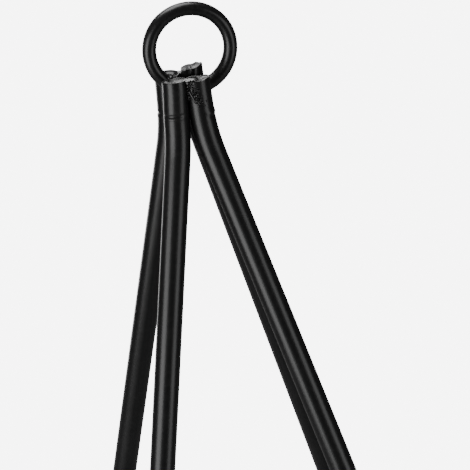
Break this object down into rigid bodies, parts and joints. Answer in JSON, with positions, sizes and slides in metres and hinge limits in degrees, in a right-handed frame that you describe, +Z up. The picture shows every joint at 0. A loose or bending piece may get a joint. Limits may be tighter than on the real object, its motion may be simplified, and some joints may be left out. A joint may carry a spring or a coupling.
{
  "type": "hunting stand",
  "caption": "Free-standing field stand: an upright welded ring over gathered bent tubes, with clamped sliding lower legs and swivel feet.",
  "frame": {"origin": "on the ground, at the middle of the base", "axes": "+Z up; the ring's eye looks along Y; the ring is welded off-centre towards +X"},
  "size_m": [0.503, 0.5134, 1.011],
  "materials": {
    "powder_coat": "black satin powder coat over steel",
    "coated_weld": "rough weld metal under black powder coat",
    "lower_leg_coat": "black satin powder coat, rubbed along its length",
    "foot_coat": "black powder coat, scuffed at the edges",
    "knob_plastic": "moulded black nylon",
    "glide_plastic": "natural acetal",
    "zinc_plate": "bright zinc plate"
  },
  "bodies": {
    "frame": {"ring": "powder_coat", "front_valley_weld": "coated_weld", "back_valley_weld": "coated_weld", "ring_weld": "coated_weld", "front_left_upper_leg": "powder_coat", "front_right_upper_leg": "powder_coat", "back_left_upper_leg": "powder_coat", "back_right_upper_leg": "powder_coat", "front_left_clamp_boss": "powder_coat", "front_right_clamp_boss": "powder_coat", "back_left_clamp_boss": "powder_coat", "back_right_clamp_boss": "powder_coat"},
    "front_left_clamp": {"front_left_clamp_screw": "zinc_plate"},
    "front_left_knob": {"front_left_wing_knob": "knob_plastic"},
    "front_left_shank": {"front_left_lower_leg": "lower_leg_coat", "front_left_glide": "glide_plastic", "front_left_foot_bolt": "zinc_plate", "front_left_foot_washers": "zinc_plate", "front_left_foot_nut": "zinc_plate"},
    "front_left_sole": {"front_left_foot": "foot_coat"},
    "front_right_clamp": {"front_right_clamp_screw": "zinc_plate"},
    "front_right_knob": {"front_right_wing_knob": "knob_plastic"},
    "front_right_shank": {"front_right_lower_leg": "lower_leg_coat", "front_right_glide": "glide_plastic", "front_right_foot_bolt": "zinc_plate", "front_right_foot_washers": "zinc_plate", "front_right_foot_nut": "zinc_plate"},
    "front_right_sole": {"front_right_foot": "foot_coat"},
    "back_left_clamp": {"back_left_clamp_screw": "zinc_plate"},
    "back_left_knob": {"back_left_wing_knob": "knob_plastic"},
    "back_left_shank": {"back_left_lower_leg": "lower_leg_coat", "back_left_glide": "glide_plastic", "back_left_foot_bolt": "zinc_plate", "back_left_foot_washers": "zinc_plate", "back_left_foot_nut": "zinc_plate"},
    "back_left_sole": {"back_left_foot": "foot_coat"},
    "back_right_clamp": {"back_right_clamp_screw": "zinc_plate"},
    "back_right_knob": {"back_right_wing_knob": "knob_plastic"},
    "back_right_shank": {"back_right_lower_leg": "lower_leg_coat", "back_right_glide": "glide_plastic", "back_right_foot_bolt": "zinc_plate", "back_right_foot_washers": "zinc_plate", "back_right_foot_nut": "zinc_plate"},
    "back_right_sole": {"back_right_foot": "foot_coat"}
  },
  "joints": [
    {"name": "front_left_leg_slide", "type": "slide", "parent": "frame", "child": "front_left_shank", "axis": [-0.2185, -0.2185, -0.9511], "range_m": [-0.28, 0.12]},
    {"name": "front_left_screw_travel", "type": "slide", "parent": "frame", "child": "front_left_clamp", "axis": [-0.6725, -0.6725, 0.309], "range_m": [0, 0.0025]},
    {"name": "front_left_knob_turn", "type": "hinge", "parent": "front_left_clamp", "child": "front_left_knob", "pos_m": [-0.11752, -0.12272, 0.44717], "axis": [-0.6725, -0.6725, 0.309], "range_deg": [0, 720]},
    {"name": "front_left_foot_pivot", "type": "hinge", "parent": "front_left_shank", "child": "front_left_sole", "pos_m": [-0.21497, -0.22017, 0.023], "axis": [-0.7071, 0.7071, 0], "range_deg": [-30, 30]},
    {"name": "front_right_leg_slide", "type": "slide", "parent": "frame", "child": "front_right_shank", "axis": [0.2185, -0.2185, -0.9511], "range_m": [-0.28, 0.12]},
    {"name": "front_right_screw_travel", "type": "slide", "parent": "frame", "child": "front_right_clamp", "axis": [0.6725, -0.6725, 0.309], "range_m": [0, 0.0025]},
    {"name": "front_right_knob_turn", "type": "hinge", "parent": "front_right_clamp", "child": "front_right_knob", "pos_m": [0.11752, -0.12272, 0.44717], "axis": [0.6725, -0.6725, 0.309], "range_deg": [0, 720]},
    {"name": "front_right_foot_pivot", "type": "hinge", "parent": "front_right_shank", "child": "front_right_sole", "pos_m": [0.21497, -0.22017, 0.023], "axis": [-0.7071, -0.7071, 0], "range_deg": [-30, 30]},
    {"name": "back_left_leg_slide", "type": "slide", "parent": "frame", "child": "back_left_shank", "axis": [-0.2185, 0.2185, -0.9511], "range_m": [-0.28, 0.12]},
    {"name": "back_left_screw_travel", "type": "slide", "parent": "frame", "child": "back_left_clamp", "axis": [-0.6725, 0.6725, 0.309], "range_m": [0, 0.0025]},
    {"name": "back_left_knob_turn", "type": "hinge", "parent": "back_left_clamp", "child": "back_left_knob", "pos_m": [-0.11752, 0.12272, 0.44717], "axis": [-0.6725, 0.6725, 0.309], "range_deg": [0, 720]},
    {"name": "back_left_foot_pivot", "type": "hinge", "parent": "back_left_shank", "child": "back_left_sole", "pos_m": [-0.21497, 0.22017, 0.023], "axis": [0.7071, 0.7071, 0], "range_deg": [-30, 30]},
    {"name": "back_right_leg_slide", "type": "slide", "parent": "frame", "child": "back_right_shank", "axis": [0.2185, 0.2185, -0.9511], "range_m": [-0.28, 0.12]},
    {"name": "back_right_screw_travel", "type": "slide", "parent": "frame", "child": "back_right_clamp", "axis": [0.6725, 0.6725, 0.309], "range_m": [0, 0.0025]},
    {"name": "back_right_knob_turn", "type": "hinge", "parent": "back_right_clamp", "child": "back_right_knob", "pos_m": [0.11752, 0.12272, 0.44717], "axis": [0.6725, 0.6725, 0.309], "range_deg": [0, 720]},
    {"name": "back_right_foot_pivot", "type": "hinge", "parent": "back_right_shank", "child": "back_right_sole", "pos_m": [0.21497, 0.22017, 0.023], "axis": [0.7071, -0.7071, 0], "range_deg": [-30, 30]}
  ],
  "couplings": [
    {"joint": "front_left_screw_travel", "follows": "front_left_knob_turn", "m_per_rad": 0.00019894},
    {"joint": "front_right_screw_travel", "follows": "front_right_knob_turn", "m_per_rad": 0.00019894},
    {"joint": "back_left_screw_travel", "follows": "back_left_knob_turn", "m_per_rad": 0.00019894},
    {"joint": "back_right_screw_travel", "follows": "back_right_knob_turn", "m_per_rad": 0.00019894}
  ]
}
